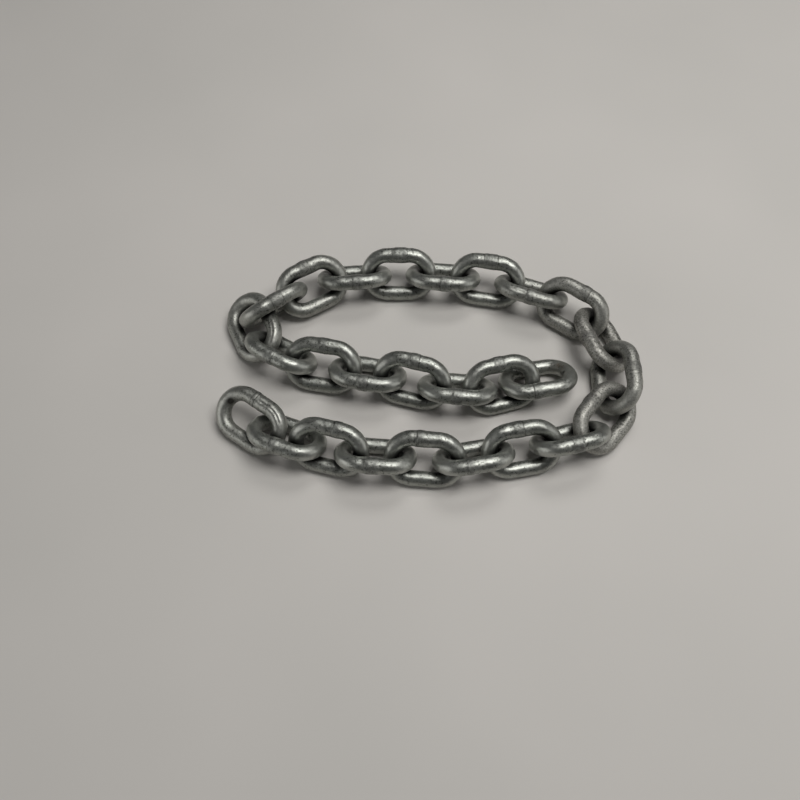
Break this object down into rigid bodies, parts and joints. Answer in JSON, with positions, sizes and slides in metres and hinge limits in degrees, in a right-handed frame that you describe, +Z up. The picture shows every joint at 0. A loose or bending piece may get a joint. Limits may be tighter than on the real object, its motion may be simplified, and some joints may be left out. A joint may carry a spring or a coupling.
{
  "type": "heap of steel chain",
  "caption": "Length of galvanised short-link steel chain lying in a loose open spiral, its welded links hooked through one another.",
  "frame": {"origin": "middle of the whole chain's footprint, on the floor that it lies on", "axes": "+X along the longest side of the spiral towards its right bend, +Y towards the top run, +Z up"},
  "size_m": [0.2106, 0.13, 0.0273],
  "materials": {
    "zinc": "hot-dip galvanised, dull grey with worn shiny crests"
  },
  "bodies": {
    "root": {"link_01": "zinc", "link_02": "zinc", "link_03": "zinc", "link_04": "zinc", "link_05": "zinc", "link_06": "zinc", "link_07": "zinc", "link_08": "zinc", "link_09": "zinc", "link_10": "zinc", "link_11": "zinc", "link_12": "zinc", "link_13": "zinc", "link_14": "zinc", "link_15": "zinc", "link_16": "zinc", "link_17": "zinc", "link_18": "zinc", "link_19": "zinc", "link_20": "zinc", "link_21": "zinc", "link_22": "zinc", "link_23": "zinc", "link_24": "zinc", "link_25": "zinc", "link_26": "zinc", "link_27": "zinc"}
  },
  "joints": []
}
